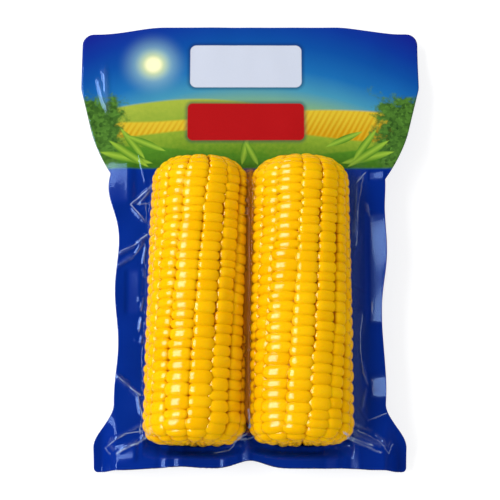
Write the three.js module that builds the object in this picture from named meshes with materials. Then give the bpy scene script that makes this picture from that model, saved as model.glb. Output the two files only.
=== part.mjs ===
// A vacuum pack of two cooked corn cobs, lying on its back.
// A blue backing film and a clear front film are sealed together all round,
// with a wide header above the cobs, and are drawn tight over the cobs.
// Millimetres. +X to the right and +Y towards the header, as the pack is read,
// and +Z up. The origin is under the middle of the pack, on the surface it lies on.
import * as THREE from "three";

// Pack outline
const PACK_WIDTH = 163.2;
const PACK_LENGTH = 216.4;
const HALF_WIDTH = PACK_WIDTH / 2;
const HALF_LENGTH = PACK_LENGTH / 2;
const HEADER_CORNER = 5.5; // radius of the two top corners
const FOOT_CORNER = 2.2; // radius of the two bottom corners
const TOP_CROWN = 3.4; // the top edge is this much higher in the middle
const SHOULDER_Y = 78; // below this the header's sides slope in
const SHOULDER_SLOPE = 0.235;
const HOLLOW_Y = 55; // and below this they curve in to the waist
const HOLLOW_RADIUS = 52;
const WAIST = 62.9; // half width where the film is drawn in beside the cobs
const WAIST_WAVE = 0.9; // the drawn-in edge wavers by this much
const WAVES = { "-1": { length: 52, crest: -23 }, 1: { length: 77, crest: 8 } }; // by side
const BULGES = [
  { side: -1, y: 26, reach: 14, out: 3.7 },
  { side: 1, y: 31, reach: 12, out: 1.8 },
  { side: 1, y: -9, reach: 16, out: 1.6 },
]; // stretches where the drawn-in edge is slack
const FOOT_HALF_WIDTH = 73.7; // half width at the bottom corners
const FOOT_FLARE = [-97, -77]; // between these the sides flare out to the corners
const FOOT_DRAW = 0.8; // the bottom edge is drawn up this much between its corners
const NOTCHES = [
  { x: 0.2, depth: 3.6 },
  { x: -32, depth: 0.9 },
]; // and this much more at these places
const NOTCH_HALF_WIDTH = 9;

// Sealed margin, called the flange: its height over the surface
const SEAM_Z = 18; // where it leaves the cobs
const SIDE_CURL = 1; // its edges beside the cobs turn up
const HEADER_DROOP = 10.5;
const CORNER_DROOP = 13;
const RIPPLE = 0.7; // waves of the flange, up and down
const RIPPLE_LENGTH = 38;

// Films. Real film is 0.1 mm thick; these sheets are thicker so that they are solids.
const FILM = 0.5;
const SEAL_GAP = 0.3; // between the two sheets
const CLING_GAP = 0.7; // between a sheet and the tops of the kernels
const LIFT_OFF = THREE.MathUtils.degToRad(20); // slope at which film leaves a cob, off upright
const END_FOOT = 3; // run of the film from a cob's end down to the flange
const VALLEY_RISE = 8; // the front film between the cobs, over the cobs' axes
const FILLET = 4; // height over which film rounds from a cob into the flange

// Cobs: the butt is at the bottom of the pack and the tip is towards the header
const COB_TIP_SHARE = 0.93; // radius at the tip over the radius at the butt
const BUTT_ROUNDING = 9; // radius between a cob's side and its end
const TIP_ROUNDING = 12;
const COB_CORE_RADIUS = 9.5; // pith that shows at a cut end
const CORE_RECESS = 1;
const END_SLACK = 0.7; // more room between film and kernels over a cob's ends
const COB_BUTT = -95.8; // y of the two ends
const COB_TIP = 39.0;
const COB_LENGTH = COB_TIP - COB_BUTT;
const COB_MIDDLE = (COB_TIP + COB_BUTT) / 2;
const COBS = [
  { name: "cob_left", x: -24.8, lean: 0.0175, radius: 24.2, rows: 14, rowPhase: 0.08 },
  { name: "cob_right", x: 23.8, lean: 0, radius: 24.6, rows: 16, rowPhase: 0.63 },
]; // x of the axis at half length, how far it leans to +X for each millimetre of y, and rows

// Kernels
const KERNELS_IN_ROW = 31;
const ROW_TWIST = THREE.MathUtils.degToRad(25); // of the rows, from butt to tip
const ROW_GROOVE = 1.5; // depth between two rows
const KERNEL_GROOVE = 0.8; // depth between two kernels of a row
const STAGGER = 0.35; // offset of each second row, in kernels
const FIRST_KERNEL = THREE.MathUtils.degToRad(12); // round the cob's end, from its axis

const { smoothstep, lerp, clamp } = THREE.MathUtils;

// The cobs' form

// Radius of a cob's body at y, before its ends are rounded.
function bodyRadius(cob, y) {
  const fromButt = clamp((y - COB_BUTT) / COB_LENGTH, 0, 1);
  return cob.radius * lerp(1, COB_TIP_SHARE, fromButt ** 2);
}

// The x of a cob's axis at y.
function axisX(cob, y) {
  return cob.x + cob.lean * (y - COB_MIDDLE);
}

// Height of a cob's axis at y: its underside lies level along its whole length.
function axisHeight(cob, y) {
  const flatFacet = Math.cos(ARC_STEP / 2);
  return (bodyRadius(cob, y) + CLING_GAP + FILM) * flatFacet;
}

// Radius of a cob's section at y with the ends rounded, grown outwards by an offset.
// Past the ends there is no section, so the radius is 0.
function sectionRadius(cob, y, offset) {
  const fromEnd = Math.min(y - COB_BUTT, COB_TIP - y) + offset;
  if (fromEnd < 0) return 0;
  const rounding = y < COB_MIDDLE ? BUTT_ROUNDING : TIP_ROUNDING;
  const along = Math.min(fromEnd / (rounding + offset), 1);
  const corner = (rounding + offset) * Math.sqrt(1 - (1 - along) ** 2);
  return bodyRadius(cob, y) - rounding + corner;
}

// A point of a cob's outline at a share of the way from its butt to its tip along
// the surface, and the direction that faces out there.
function meridian(cob, share) {
  const turn = Math.PI / 2 - FIRST_KERNEL;
  const straight = COB_LENGTH - BUTT_ROUNDING - TIP_ROUNDING;
  const s = share * (straight + (BUTT_ROUNDING + TIP_ROUNDING) * turn) - BUTT_ROUNDING * turn;
  const atButt = s < straight / 2;
  const rounding = atButt ? BUTT_ROUNDING : TIP_ROUNDING;
  const sense = atButt ? -1 : 1;
  const bend = Math.max(atButt ? -s : s - straight, 0) / rounding;
  const alongStraight = COB_BUTT + BUTT_ROUNDING + clamp(s, 0, straight);
  const y = alongStraight + sense * rounding * Math.sin(bend);
  const r = bodyRadius(cob, y) - rounding * (1 - Math.cos(bend));
  return { y, r, outY: sense * Math.sin(bend), outR: Math.cos(bend) };
}

// One cob: a lathed blank whose columns and rings are then set to the rows and kernels.
function cobGeometry(cob) {
  const columns = 2 * cob.rows;
  const rings = 2 * KERNELS_IN_ROW + 1;
  const blank = [new THREE.Vector2(0, COB_BUTT)];
  blank.push(new THREE.Vector2(COB_CORE_RADIUS, COB_BUTT));
  for (let k = 0; k < rings; k++) {
    blank.push(new THREE.Vector2(cob.radius, lerp(COB_BUTT, COB_TIP, k / (rings - 1))));
  }
  blank.push(new THREE.Vector2(COB_CORE_RADIUS, COB_TIP));
  blank.push(new THREE.Vector2(0, COB_TIP));
  const geometry = new THREE.LatheGeometry(blank, columns);
  const places = geometry.getAttribute("position");
  for (let i = 0; i <= columns; i++) {
    for (let j = 0; j < blank.length; j++) {
      const ring = j - 2;
      const p =
        ring < 0 || ring >= rings
          ? corePoint(cob, blank[j], i % columns)
          : kernelPoint(cob, i % columns, ring, rings);
      places.setXYZ(i * blank.length + j, p.x, p.y, p.z);
    }
  }
  return geometry;
}

// A point round a cob's axis. The angle is from straight up, towards +X.
function roundAxis(cob, y, r, angle) {
  const z = axisHeight(cob, y) + r * Math.cos(angle);
  return new THREE.Vector3(axisX(cob, y) + r * Math.sin(angle), y, z);
}

function columnAngle(cob, column, y) {
  const twist = (ROW_TWIST * (y - COB_MIDDLE)) / COB_LENGTH;
  return ((column / 2 + cob.rowPhase) / cob.rows) * 2 * Math.PI + twist;
}

// A point of the cut end: the rim of the pith, or its middle, which is a little sunk.
function corePoint(cob, blankPoint, column) {
  const inwards = blankPoint.y < 0 ? 1 : -1;
  const sunk = END_SLACK + (blankPoint.x > 0 ? 0 : CORE_RECESS);
  const y = blankPoint.y + inwards * sunk;
  return roundAxis(cob, y, blankPoint.x, columnAngle(cob, column, y));
}

// A point of the kernelled surface. Odd columns run along the middle of a row and odd
// rings cross the middle of the kernels; the even ones lie in the grooves.
function kernelPoint(cob, column, ring, rings) {
  const inRow = column % 2 === 1;
  const atKernel = ring % 2 === 1;
  const row = Math.floor(column / 2);
  const offset = inRow ? (row % 2) * STAGGER : STAGGER / 2;
  const slack = Math.sin((Math.PI * ring) / (rings - 1)); // no offset at the two ends
  const share = (ring + 2 * offset * slack) / (rings - 1 + 2 * STAGGER * slack);
  const at = meridian(cob, share);
  const grooves = (inRow ? 0 : ROW_GROOVE) + (atKernel ? 0 : KERNEL_GROOVE);
  const depth = grooves + END_SLACK * Math.abs(at.outY);
  const y = at.y - at.outY * depth;
  return roundAxis(cob, y, at.r - at.outR * depth, columnAngle(cob, column, y));
}

// The films' form

// The x of the pack's edge at y, on the side -1 or +1.
function edgeX(y, side) {
  const { length, crest } = WAVES[side];
  let waver = WAIST_WAVE * Math.cos((2 * Math.PI * (y - crest)) / length);
  for (const bulge of BULGES.filter((each) => each.side === side)) {
    waver += bulge.out * Math.exp(-(((y - bulge.y) / bulge.reach) ** 2));
  }
  const slope = SHOULDER_SLOPE * Math.max(SHOULDER_Y - y, 0);
  const hollow = Math.max(HOLLOW_Y - y, 0) ** 2 / (2 * HOLLOW_RADIUS);
  const shoulder = HALF_WIDTH - slope - hollow;
  const flare = 1 - smoothstep(y, ...FOOT_FLARE);
  const drawnIn = lerp(WAIST + waver * (1 - flare), FOOT_HALF_WIDTH, flare);
  const half = Math.max(shoulder, drawnIn);
  return side * (half - cornerCut(y));
}

// How far a rounded corner takes the edge in at y.
function cornerCut(y) {
  const radius = y > 0 ? HEADER_CORNER : FOOT_CORNER;
  const into = clamp((Math.abs(y) - HALF_LENGTH + radius) / radius, 0, 1);
  return radius * (1 - Math.sqrt(1 - into ** 2));
}

// The top edge is crowned and the bottom edge is notched, so rows near them bend.
function bentY(x, y) {
  const nearTop = smoothstep(y, COB_TIP, HALF_LENGTH);
  const crownDrop = TOP_CROWN * smoothstep(Math.abs(x), 0.5 * HALF_WIDTH, 0.9 * HALF_WIDTH);
  const nearBottom = 1 - smoothstep(y, -HALF_LENGTH, COB_BUTT);
  let draw = FOOT_DRAW * (1 - smoothstep(Math.abs(x), 0.5 * HALF_WIDTH, 0.75 * HALF_WIDTH));
  for (const notch of NOTCHES) {
    draw += notch.depth * Math.exp(-(((x - notch.x) / NOTCH_HALF_WIDTH) ** 2));
  }
  return y - nearTop * crownDrop + nearBottom * draw;
}

// Height of the seam between the two films.
function flangeZ(x, y) {
  const cobEdge = Math.max(...COBS.map((cob) => Math.abs(cob.x) + cob.radius));
  const outwards = smoothstep(Math.abs(x), cobEdge, HALF_WIDTH);
  const header = smoothstep(y, COB_TIP, HALF_LENGTH);
  const corner = outwards * (1 - smoothstep(y, -HALF_LENGTH, FOOT_FLARE[1]));
  const sides = SIDE_CURL * outwards * (1 - header) * (1 - corner);
  const ripple = RIPPLE * outwards * Math.sin((2 * Math.PI * y) / RIPPLE_LENGTH + Math.sign(x));
  return SEAM_Z - HEADER_DROOP * header + sides - CORNER_DROOP * corner + ripple;
}

// How far a film stands off a cob's axis plane at a distance dx from its axis: round the
// section, then straight down the tangent where the film leaves the cob.
function standOff(dx, radius) {
  if (radius === 0) return -Infinity;
  const away = Math.abs(dx);
  if (away <= radius * Math.cos(LIFT_OFF)) return Math.sqrt(radius ** 2 - away ** 2);
  return radius / Math.sin(LIFT_OFF) - away / Math.tan(LIFT_OFF);
}

// Height of a face of the front film, or of the backing film where sense is -1. The face
// lies at an offset from the kernels over the cobs and at a rise from the seam elsewhere.
function filmZ(x, y, sense, offset, rise) {
  let stand = sense * flangeZ(x, y) + rise;
  for (const cob of COBS) {
    const over = standOff(x - axisX(cob, y), sectionRadius(cob, y, offset));
    stand = softMax(stand, sense * axisHeight(cob, y) + over);
  }
  if (sense > 0) stand = softMax(stand, valleyZ(x, y) + rise);
  return sense * stand;
}

// The higher of two heights, with a fillet where they meet.
function softMax(a, b) {
  const near = Math.max(FILLET - Math.abs(a - b), 0);
  return Math.max(a, b) + near ** 2 / (4 * FILLET);
}

// The front film spans the valley between the cobs, falling away to both its ends.
function valleyZ(x, y) {
  const middle = (axisX(COBS[0], y) + axisX(COBS[1], y)) / 2;
  const inside = Math.min(y - COB_BUTT, COB_TIP - y);
  const along = smoothstep(inside, 0, BUTT_ROUNDING);
  const span = axisHeight(COBS[0], y) + VALLEY_RISE;
  return lerp(flangeZ(x, y) - FILLET, span, along) - Math.abs(x - middle);
}

// Columns of the films across the pack at y: edge, flange, foot, round each cob, and so on.
const ARC_COLUMNS = 8;
const ARC_STEP = (Math.PI - 2 * LIFT_OFF) / (ARC_COLUMNS - 1);
const FLANGE_COLUMNS = 3;
const FOOT_OFFSET = 4.2; // from a cob's side to where the film reaches the flange

function columnXs(y) {
  const [left, right] = COBS.map((cob) => arcXs(cob, y));
  const leftFoot = left[0] - FOOT_OFFSET;
  const rightFoot = right[ARC_COLUMNS - 1] + FOOT_OFFSET;
  const leftFlange = spread(edgeX(y, -1), leftFoot, FLANGE_COLUMNS);
  const rightFlange = spread(edgeX(y, 1), rightFoot, FLANGE_COLUMNS).reverse();
  const valley = (left[ARC_COLUMNS - 1] + right[0]) / 2;
  return [...leftFlange, ...left, valley, ...right, ...rightFlange];
}

function arcXs(cob, y) {
  const radius = bodyRadius(cob, y) + CLING_GAP;
  return Array.from({ length: ARC_COLUMNS }, (_, k) => {
    return axisX(cob, y) - radius * Math.cos(LIFT_OFF + k * ARC_STEP);
  });
}

function spread(from, to, count) {
  return Array.from({ length: count }, (_, k) => lerp(from, to, k / (count - 1)));
}

// Rows of the films, from the bottom edge to the top edge.
function rowYs() {
  const [butt, tip] = [COB_BUTT - CLING_GAP, COB_TIP + CLING_GAP];
  const buttRound = BUTT_ROUNDING + CLING_GAP;
  const tipRound = TIP_ROUNDING + CLING_GAP;
  const inRound = [0, 0.04, 0.16, 0.36, 0.64, 1];
  const along = spread(butt + buttRound, tip - tipRound, 8).slice(1, -1);
  const header = spread(tip + END_FOOT, HALF_LENGTH - HEADER_CORNER, 6);
  return [
    -HALF_LENGTH,
    -HALF_LENGTH + FOOT_CORNER,
    butt - END_FOOT,
    ...inRound.map((share) => butt + share * buttRound),
    ...along,
    ...inRound.map((share) => tip - share * tipRound).reverse(),
    ...header,
    HALF_LENGTH - HEADER_CORNER * 0.3,
    HALF_LENGTH,
  ];
}

// A closed sheet over a grid of rows and columns: an upper and a lower face, split into
// triangles alike, and a rim round them.
function sheetGeometry(upperZ, lowerZ) {
  const rows = rowYs();
  const width = columnXs(0).length;
  const points = [];
  for (const height of [upperZ, lowerZ]) {
    for (const row of rows) {
      for (const x of columnXs(row)) points.push(x, bentY(x, row), height(x, row));
    }
  }
  const size = rows.length * width;
  const triangles = [];
  for (let j = 0; j + 1 < rows.length; j++) {
    for (let i = 0; i + 1 < width; i++) {
      const a = j * width + i;
      const [b, c, d] = [a + 1, a + width + 1, a + width];
      triangles.push(a, b, c, a, c, d);
      triangles.push(size + a, size + c, size + b, size + a, size + d, size + c);
    }
  }
  const rim = rimIndices(rows.length, width);
  rim.forEach((a, k) => {
    const b = rim[(k + 1) % rim.length];
    triangles.push(a, size + a, size + b, a, size + b, b);
  });
  const geometry = new THREE.BufferGeometry();
  geometry.setAttribute("position", new THREE.Float32BufferAttribute(points, 3));
  geometry.setIndex(triangles);
  geometry.computeVertexNormals();
  return geometry;
}

// The grid's border, anticlockwise from above.
function rimIndices(height, width) {
  const rim = [];
  for (let i = 0; i < width - 1; i++) rim.push(i);
  for (let j = 0; j < height - 1; j++) rim.push(j * width + width - 1);
  for (let i = width - 1; i > 0; i--) rim.push((height - 1) * width + i);
  for (let j = height - 1; j > 0; j--) rim.push(j * width);
  return rim;
}

function frontFilmGeometry() {
  const outer = (x, y) => filmZ(x, y, 1, CLING_GAP + FILM, SEAL_GAP / 2 + FILM);
  const inner = (x, y) => filmZ(x, y, 1, CLING_GAP, SEAL_GAP / 2);
  return sheetGeometry(outer, inner);
}

function backFilmGeometry() {
  const inner = (x, y) => filmZ(x, y, -1, CLING_GAP, SEAL_GAP / 2);
  const outer = (x, y) => Math.max(filmZ(x, y, -1, CLING_GAP + FILM, SEAL_GAP / 2 + FILM), 0);
  return sheetGeometry(inner, outer);
}

// Finishes
const CORN = { color: 0xf6b90c, roughness: 0.38, metalness: 0 };
const BLUE_FILM = { color: 0x12309a, roughness: 0.3, metalness: 0 };
const CLEAR_FILM = { color: 0xffffff, roughness: 0.12, metalness: 0, transparent: true, opacity: 0.2 };

function piece(name, geometry, finish) {
  const mesh = new THREE.Mesh(geometry, new THREE.MeshStandardMaterial(finish));
  mesh.name = name;
  return mesh;
}

const pack = new THREE.Group();
pack.add(piece("back_film", backFilmGeometry(), BLUE_FILM));
for (const cob of COBS) pack.add(piece(cob.name, cobGeometry(cob), CORN));
pack.add(piece("front_film", frontFilmGeometry(), CLEAR_FILM));

export default pack;
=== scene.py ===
# %% [markdown]
# # A vacuum pack of corn cobs
# Two cooked cobs lie between two plastic films. The backing film is blue, with a printed
# header, and the front film is clear. Air is drawn out before the films are sealed, so both
# cling to the cobs and pucker in the margin round them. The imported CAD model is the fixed
# frame: every piece below takes its place and its size from it.

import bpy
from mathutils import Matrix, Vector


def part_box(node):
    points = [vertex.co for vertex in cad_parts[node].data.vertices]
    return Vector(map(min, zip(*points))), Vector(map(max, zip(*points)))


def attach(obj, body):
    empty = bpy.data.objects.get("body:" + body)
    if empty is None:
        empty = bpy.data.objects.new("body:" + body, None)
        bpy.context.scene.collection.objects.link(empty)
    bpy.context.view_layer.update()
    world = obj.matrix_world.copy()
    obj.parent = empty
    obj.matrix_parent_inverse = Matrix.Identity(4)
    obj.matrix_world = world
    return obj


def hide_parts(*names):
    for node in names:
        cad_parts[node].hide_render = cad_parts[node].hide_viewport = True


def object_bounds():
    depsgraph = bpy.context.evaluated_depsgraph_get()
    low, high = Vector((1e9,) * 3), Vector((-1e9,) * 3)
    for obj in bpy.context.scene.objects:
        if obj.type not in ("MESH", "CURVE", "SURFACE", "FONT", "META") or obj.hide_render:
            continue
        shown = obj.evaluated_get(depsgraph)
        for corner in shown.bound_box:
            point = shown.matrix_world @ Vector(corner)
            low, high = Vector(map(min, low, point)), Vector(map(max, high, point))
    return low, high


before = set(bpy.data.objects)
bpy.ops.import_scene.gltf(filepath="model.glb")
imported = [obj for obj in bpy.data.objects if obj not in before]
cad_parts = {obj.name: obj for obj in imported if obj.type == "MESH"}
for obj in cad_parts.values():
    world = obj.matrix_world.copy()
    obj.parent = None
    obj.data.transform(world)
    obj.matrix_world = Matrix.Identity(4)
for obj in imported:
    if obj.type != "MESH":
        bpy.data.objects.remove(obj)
cad_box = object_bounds()
print("CAD box, lowest and highest corner in metres:", *map(tuple, cad_box))

# %% [markdown]
# ## The cobs' form
# A trimmed cob is a fat stick with rounded ends, a little slimmer towards its tip. It lies on
# its side, so its underside is level and its axis rises towards the thick butt. A few formulas
# give that form, and the kernels, the pith and both films are all set on them. Sizes are in
# millimetres until a mesh is made.

# %% Cob sizes
import math

import numpy as np

MM = 0.001
TIP_SHARE = 0.93  # radius at the tip over the radius at the butt
BUTT_ROUNDING, TIP_ROUNDING = 9.0, 12.0  # radius between a cob's side and its end
END_SLACK = 0.7  # room between film and kernels over a cob's ends, in the CAD
UNDERLAY = 0.8  # film and slack under a cob
FACET_SHARE = math.cos(math.radians(10))  # the CAD trough is faceted, so a cob sits lower


def read_cob(node, **sizes):
    """A cob's ends come from its CAD solid. x is its axis at half length, lean its slant."""
    low, high = (np.array(corner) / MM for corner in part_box(node))
    return {"node": node, "butt": low[1] - END_SLACK, "tip": high[1] + END_SLACK, **sizes}


LEFT = read_cob("cob_left", x=-24.8, lean=0.0175, radius=24.2)
RIGHT = read_cob("cob_right", x=23.8, lean=0.0, radius=24.6)
COBS = (LEFT, RIGHT)
COB_BUTT, COB_TIP = LEFT["butt"], LEFT["tip"]
COB_MIDDLE, COB_LENGTH = (COB_BUTT + COB_TIP) / 2, COB_TIP - COB_BUTT
print("cobs are", round(COB_LENGTH, 1), "mm long and", 2 * LEFT["radius"], "mm across")


# %% A cob's axis and radius along its length
def smooth(value, low, high):
    """0 below low, 1 above high, and a soft step between."""
    share = np.clip((value - low) / (high - low), 0, 1)
    return share * share * (3 - 2 * share)


def axis_x(cob, y):
    return cob["x"] + cob["lean"] * (y - COB_MIDDLE)


def body_radius(cob, y):
    share = np.clip((y - COB_BUTT) / COB_LENGTH, 0, 1)
    return cob["radius"] * (1 - (1 - TIP_SHARE) * share**2)


def axis_height(cob, y):
    return (body_radius(cob, y) + UNDERLAY) * FACET_SHARE


def from_end(y):
    """How far y lies inside the nearer end of the cobs."""
    return np.minimum(y - COB_BUTT, COB_TIP - y)


def section_radius(cob, y):
    """Radius of the section at y, with the ends rounded."""
    rounding = np.where(y < COB_MIDDLE, BUTT_ROUNDING, TIP_ROUNDING)
    along = np.clip(from_end(y) / rounding, 0, 1)
    corner = rounding * np.sqrt(1 - (1 - along) ** 2)
    return np.where(from_end(y) < 0, 0, body_radius(cob, y) - rounding + corner)


def valley_x(y):
    """Middle of the groove between the cobs."""
    return (axis_x(LEFT, y) + axis_x(RIGHT, y)) / 2


def half_gap(y):
    """Half the room that the two round forms leave between them."""
    left_side = axis_x(LEFT, y) + body_radius(LEFT, y)
    return (axis_x(RIGHT, y) - body_radius(RIGHT, y) - left_side) / 2


print("radius at the tip", body_radius(LEFT, COB_TIP).round(1), "mm, gap between the cobs",
      (2 * half_gap(COB_MIDDLE)).round(2), "mm")

# %% [markdown]
# ## One kernel
# A kernel's crown is a plump cushion, about twice as wide round the cob as it is long. A sphere
# pressed towards a box, a superellipsoid, has just that form: two powers say how square it is
# seen from above and from the side. The sphere is made once with few faces, its hidden lower
# part is cut away, and each kernel then gets powers and sizes of its own.

# %% Kernel blank
import bmesh
import bpy

HIDDEN_BELOW = -0.3


def kernel_blank():
    bm = bmesh.new()
    bmesh.ops.create_uvsphere(bm, u_segments=12, v_segments=8, radius=1)
    everything = bm.verts[:] + bm.edges[:] + bm.faces[:]
    bmesh.ops.bisect_plane(bm, geom=everything, plane_co=(0, 0, HIDDEN_BELOW),
                           plane_no=(0, 0, -1), clear_outer=True)
    bm.verts.index_update()
    points = np.array([vert.co[:] for vert in bm.verts])
    faces = [[vert.index for vert in face.verts] for face in bm.faces]
    bm.free()
    return points, faces


BLANK_POINTS, BLANK_FACES = kernel_blank()
print("kernel blank:", len(BLANK_POINTS), "points and", len(BLANK_FACES), "faces")

# %% [markdown]
# ## Rows of kernels
# Kernels stand in an even number of rows, which lean a little as they climb the cob and turn in
# over its two ends. The rows are not alike: some are wide, with flat kernels, and some narrow,
# with round ones. Along a row kernels press against each other, so their lengths vary but leave
# no gaps, and each row starts at its own height. Seeded random numbers give the unevenness, and
# the whole cob becomes one mesh made from arrays. The soft kernels where the two cobs face each
# other are pressed together. Each point remembers its kernel's tone and how deep in the groove it
# lies, which the colour uses later.

# %% Rows round each cob
KERNEL_ROWS = 16
# Turn of the rows in degrees from butt to tip, and how it quickens towards the tip, then the
# angles of the grooves seen from above, at half length. Rows whose middle lies below an angle
# have plump kernels, and in some rows the kernels lean by a slope.
LEFT.update(
    twist=(25, 11), grooves=(-88, -71, -52, -28.5, -0.5, 25.5, 50, 74),
    plump_below=-28, leaning_rows={}, seed=11)
RIGHT.update(
    twist=(29, -8), grooves=(-83, -61, -38, -9, 17, 42, 63, 82),
    plump_below=-15, leaning_rows={2: -0.2}, seed=29)


def row_grooves(cob):
    """All the grooves round a cob. Those underneath are spaced evenly."""
    seen = np.array(cob["grooves"], float)
    unseen = np.linspace(seen[-1], seen[0] + 360, KERNEL_ROWS - len(seen) + 2)
    return np.radians(np.concatenate([seen, unseen[1:]]))


widths = np.degrees(np.diff(row_grooves(LEFT)))
print("row widths in degrees:", widths.round().astype(int).tolist())

# %% Kernel places
KERNELS_IN_ROW = 33
FACE_RUN = 10.0  # kernels reach this far in over the flat of a cob's butt
STRAIGHT = COB_LENGTH - BUTT_ROUNDING - TIP_ROUNDING
BUTT_RUN = BUTT_ROUNDING * math.pi / 2 + FACE_RUN
ROW_LENGTH = BUTT_RUN + STRAIGHT + TIP_ROUNDING * math.pi / 2
LENGTH_SPREAD = 0.09
LENGTH_AT_BUTT, LENGTH_AT_TIP = 1.16, 0.82  # over the mean length
END_KERNELS = (0.5, 1.2)  # range of length of a row's first and last kernel
ROW_SWAY, SWAYS = 0.012, 1.2  # angle by which a row sways, and how often
JITTER, BUTT_JITTER, TIP_JITTER = 0.012, 0.02, 0.03  # angles off the row, and more at the ends
BUTT_ZONE, TIP_ZONE = (0.06, 0.16), (0.9, 1)  # where the ends begin, as shares of a row
TRAITS = 6


def meridian(cob, share):
    """Points along a cob's surface from butt to tip: y, radius, and the way out (y, radial)."""
    run = share * ROW_LENGTH - BUTT_RUN
    at_butt = run < STRAIGHT / 2
    rounding = np.where(at_butt, BUTT_ROUNDING, TIP_ROUNDING)
    sense = np.where(at_butt, -1, 1)
    beyond = np.maximum(np.where(at_butt, -run, run - STRAIGHT), 0)
    bend = np.minimum(beyond / rounding, math.pi / 2)
    onto_face = beyond - bend * rounding
    y = COB_BUTT + BUTT_ROUNDING + np.clip(run, 0, STRAIGHT) + sense * rounding * np.sin(bend)
    radius = body_radius(cob, y) - rounding * (1 - np.cos(bend)) - onto_face
    return y, radius, sense * np.sin(bend), np.cos(bend)


def row_shares(rng):
    """Bounds of each kernel of a row, as shares of the way from butt to tip."""
    lengths = 1 + LENGTH_SPREAD * rng.standard_normal(KERNELS_IN_ROW + rng.integers(-1, 2))
    lengths *= np.linspace(LENGTH_AT_BUTT, LENGTH_AT_TIP, len(lengths))
    lengths[[0, -1]] *= rng.uniform(*END_KERNELS, 2)
    bounds = np.concatenate([[0], np.cumsum(lengths)])
    return bounds / bounds[-1]


def kernel_places(cob):
    """Numbers for each kernel: share, length, angle, width, slope, plumpness and its traits."""
    rng = np.random.default_rng(cob["seed"])
    grooves = row_grooves(cob)
    places = []
    for row, (start, end) in enumerate(zip(grooves, grooves[1:])):
        centre = (start + end) / 2
        bounds = row_shares(rng)
        middle = (bounds[1:] + bounds[:-1]) / 2
        sway = ROW_SWAY * np.sin(2 * math.pi * (SWAYS * middle + rng.random()))
        steady, quickening = np.radians(cob["twist"])
        twist = steady * (middle - 0.5) + quickening * (middle - 0.5) ** 2
        loose_butt = BUTT_JITTER * (1 - smooth(middle, *BUTT_ZONE))
        jitter = JITTER + loose_butt + TIP_JITTER * smooth(middle, *TIP_ZONE)
        angle = centre + sway + twist + jitter * rng.standard_normal(len(middle))
        plump = float(centre < math.radians(cob["plump_below"]))
        shared = np.tile([end - start, cob["leaning_rows"].get(row, 0), plump], (len(middle), 1))
        traits = rng.standard_normal((len(middle), TRAITS))
        places.append(np.column_stack([middle, np.diff(bounds), angle, shared, traits]))
    return np.vstack(places)


print("kernels on the left cob:", len(kernel_places(LEFT)))

# %% Kernel form
KERNEL_HEIGHT, TIP_FLATTENING = 3.0, 0.45  # flatter by this share on the tip
BUTT_SWELL = 0.8  # kernels stand out more on the butt, in millimetres
# Sizes over the room a kernel has, and its powers: of a flat kernel, what a round one has more,
# and the unevenness, or for the length what it has more on the butt.
WIDTH, LENGTH = (1.03, 0.2, 0.025), (1.32, 0.05, -0.12)
POWER_ABOVE, POWER_SIDE = (0.66, 0.21, 0.05), (0.88, 0.12, 0.03)
BOXY_TIP = 0.1  # flat kernels are more square from the side towards the tip
ROUND_BUTT, ROUND_BUTT_ZONE = 0.5, (0.2, 0.5)  # roundness towards the butt
TIP_HALF = (0.45, 0.7)  # shares of a row between which this half begins
HIGH_SPREAD, TILT_SPREAD, LEAN_SPREAD = 0.12, 0.05, 0.03
PRESSED_POWER = 8  # keeps the pressed kernels to a narrow strip
TINY = 1e-9


def cushion(points, from_above, from_side):
    """The sphere's points pressed towards a box, with one pair of powers for each kernel."""
    flat = np.hypot(points[:, 0], points[:, 1])
    around = points[:, :2] / np.maximum(flat, TINY)[:, None]
    plan = np.sign(around) * np.abs(around) ** from_above[:, None, None]
    height = np.sign(points[:, 2]) * np.abs(points[:, 2]) ** from_side[:, None]
    return np.dstack([plan * (flat ** from_side[:, None])[..., None], height])


def kernel_points(cob):
    """All points of a cob's kernels, the height in the blank of each, and each kernel's tone."""
    share, length, angle, width, slope, plump, *traits = kernel_places(cob).T
    wide, high, tilt, lean, square, tone = traits
    y, radius, out_y, out_r = meridian(cob, share)
    at_butt, at_tip = np.clip(-out_y, 0, 1), np.clip(out_y, 0, 1)
    near_butt, near_tip = 1 - smooth(share, *ROUND_BUTT_ZONE), smooth(share, *TIP_HALF)
    roundness = np.maximum.reduce([plump, at_butt, ROUND_BUTT * near_butt])

    def sized(values, uneven, boxy=0):
        flat, rounder, spread = values
        return flat + (rounder + boxy) * roundness - boxy + spread * uneven

    half_width = width / 2 * radius * sized(WIDTH, wide)
    half_length = length * ROW_LENGTH / 2 * sized(LENGTH, at_butt)
    height = KERNEL_HEIGHT * (1 - TIP_FLATTENING * at_tip)
    from_side = sized(POWER_SIDE, high, BOXY_TIP * near_tip)
    form = cushion(BLANK_POINTS, sized(POWER_ABOVE, square), from_side)
    local = form * np.stack([half_width, half_length, height], axis=1)[:, None, :]
    leaning = slope * (1 - at_butt) * (1 - near_tip) + LEAN_SPREAD * lean
    local[..., 2] += TILT_SPREAD * tilt[:, None] * local[..., 1]
    local[..., 2] += leaning[:, None] * local[..., 0]
    local[..., 2] += (HIGH_SPREAD * high + BUTT_SWELL * at_butt - height)[:, None]
    sine, cosine = np.sin(angle), np.cos(angle)
    out = np.column_stack([sine * out_r, out_y, cosine * out_r])
    across = np.column_stack([cosine, np.zeros_like(y), -sine])
    along = np.cross(out, across)
    middle = np.column_stack([axis_x(cob, y), y, axis_height(cob, y)])
    middle[:, 0] += radius * sine
    middle[:, 2] += radius * cosine
    towards = -np.sign(cob["x"])
    facing = np.clip(towards * sine * out_r, 0, 1) ** PRESSED_POWER
    middle[:, 0] += towards * facing * half_gap(y)
    points = middle[:, None, :] + local @ np.stack([across, along, out], axis=1)
    return points, form[..., 2], tone


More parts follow.
